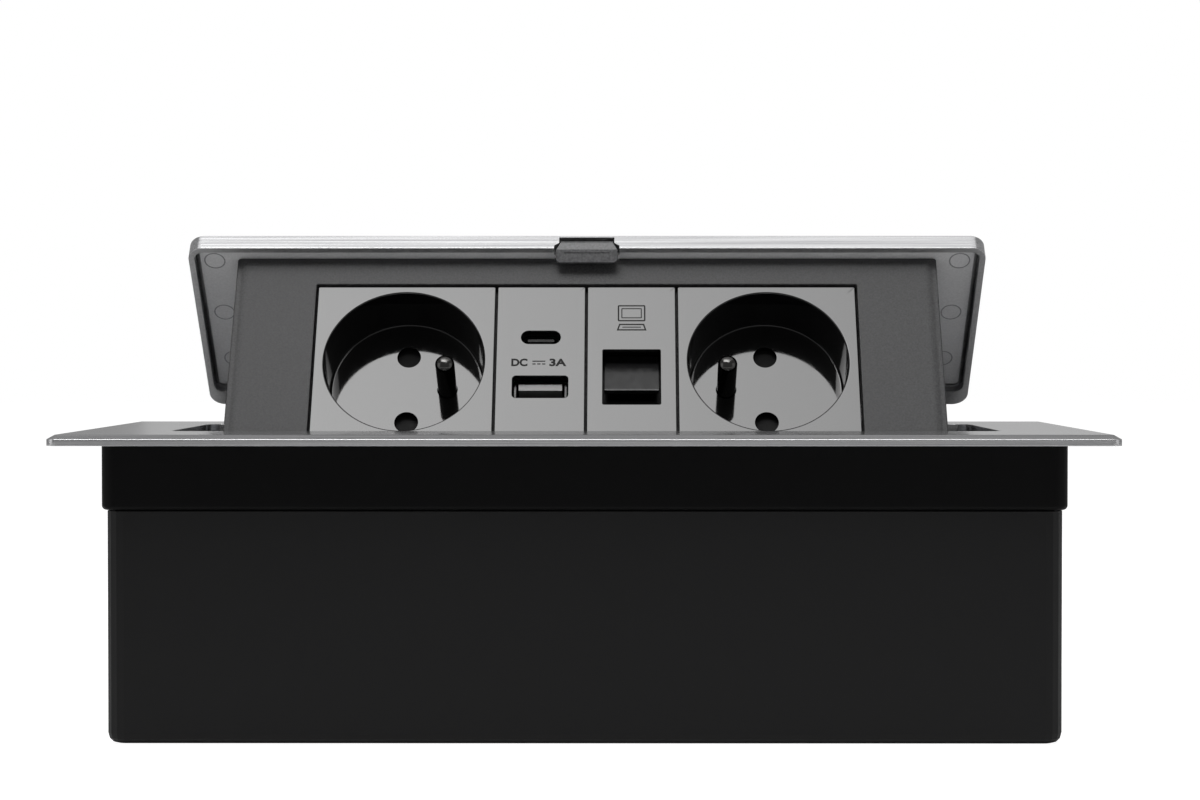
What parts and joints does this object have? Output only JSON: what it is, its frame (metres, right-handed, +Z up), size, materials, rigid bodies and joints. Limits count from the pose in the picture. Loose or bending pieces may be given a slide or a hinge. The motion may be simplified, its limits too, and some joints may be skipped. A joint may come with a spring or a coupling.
{
  "type": "in-desk power module",
  "caption": "Tilting in-desk power module: brushed plate and lid, black box, earth-pin sockets, USB ports and a data outlet.",
  "frame": {"origin": "under the middle of the box, on the surface it stands on", "axes": "+X along the plate, -Y towards the user, +Z up"},
  "size_m": [0.25, 0.12, 0.1219],
  "materials": {
    "brushed_aluminium": "fine straight brushing",
    "black_shell": "satin black",
    "grey_plastic": "satin grey moulding",
    "textured_plastic": "finely spark-textured moulding",
    "gloss_black": "polished moulding",
    "inner_plastic": "plain moulding",
    "zinc_steel": "zinc plated",
    "nickel": "nickel plated, polished",
    "contact_brass": "stamped strip",
    "black_rubber": "moulded rubber",
    "circuit_board": "solder resist",
    "white_plastic": "plain moulding"
  },
  "bodies": {
    "housing": {"top_plate": "brushed_aluminium", "skirt_frame": "black_shell", "base_box": "black_shell", "plate_screw_1": "zinc_steel", "plate_screw_2": "zinc_steel", "plate_screw_3": "zinc_steel", "plate_screw_4": "zinc_steel", "plate_screw_5": "zinc_steel", "plate_screw_6": "zinc_steel", "box_screw_1": "zinc_steel", "box_screw_2": "zinc_steel", "box_screw_3": "zinc_steel", "box_screw_4": "zinc_steel", "mains_grommet": "black_rubber", "data_grommet": "black_rubber", "hinge_bracket_left": "zinc_steel", "hinge_bracket_right": "zinc_steel", "hinge_pin_left": "zinc_steel", "hinge_pin_right": "zinc_steel", "torsion_spring": "zinc_steel"},
    "tilt_unit": {"lid_plate": "brushed_aluminium", "lid_liner": "grey_plastic", "latch_guide": "inner_plastic", "latch_spring": "zinc_steel", "bezel": "textured_plastic", "module_frame": "inner_plastic", "tilt_cheek_left": "zinc_steel", "tilt_cheek_right": "zinc_steel", "socket_face_left": "gloss_black", "socket_face_right": "gloss_black", "earth_pin_left": "nickel", "earth_pin_right": "nickel", "socket_body_left": "inner_plastic", "socket_body_right": "inner_plastic", "lower_clip_left": "contact_brass", "upper_clip_left": "contact_brass", "lower_clip_right": "contact_brass", "upper_clip_right": "contact_brass", "usb_face": "gloss_black", "usb_a_shell": "nickel", "usb_a_tongue": "white_plastic", "usb_c_shell": "nickel", "usb_c_tongue": "inner_plastic", "usb_board": "circuit_board", "usb_housing": "inner_plastic", "data_face": "gloss_black", "data_jack": "inner_plastic", "jack_contacts": "contact_brass", "data_housing": "inner_plastic"},
    "latch": {"latch_tab": "inner_plastic"},
    "dust_shutter": {"data_shutter": "inner_plastic"},
    "left_shutter": {"socket_shutter_left": "inner_plastic"},
    "right_shutter": {"socket_shutter_right": "inner_plastic"}
  },
  "joints": [
    {"name": "tilt", "type": "hinge", "parent": "housing", "child": "tilt_unit", "pos_m": [0, 0.0433, 0.06445], "axis": [1, 0, 0], "range_deg": [0, 44.5], "stiffness_Nm_per_rad": 0.3, "springref_deg": -114.59},
    {"name": "latch_slide", "type": "slide", "parent": "tilt_unit", "child": "latch", "axis": [0, 0.7133, -0.7009], "range_m": [0, 0.0015], "stiffness_N_per_m": 150, "springref_m": -0.001, "deforming": ["latch_spring"]},
    {"name": "dust_shutter_slide", "type": "slide", "parent": "tilt_unit", "child": "dust_shutter", "axis": [0, 0.6915, 0.7224], "range_m": [0, 0.009], "stiffness_N_per_m": 30, "springref_m": -0.003},
    {"name": "left_shutter_slide", "type": "slide", "parent": "tilt_unit", "child": "left_shutter", "axis": [-1, 0, 0], "range_m": [0, 0.007], "stiffness_N_per_m": 60, "springref_m": -0.002},
    {"name": "right_shutter_slide", "type": "slide", "parent": "tilt_unit", "child": "right_shutter", "axis": [1, 0, 0], "range_m": [0, 0.007], "stiffness_N_per_m": 60, "springref_m": -0.002}
  ]
}
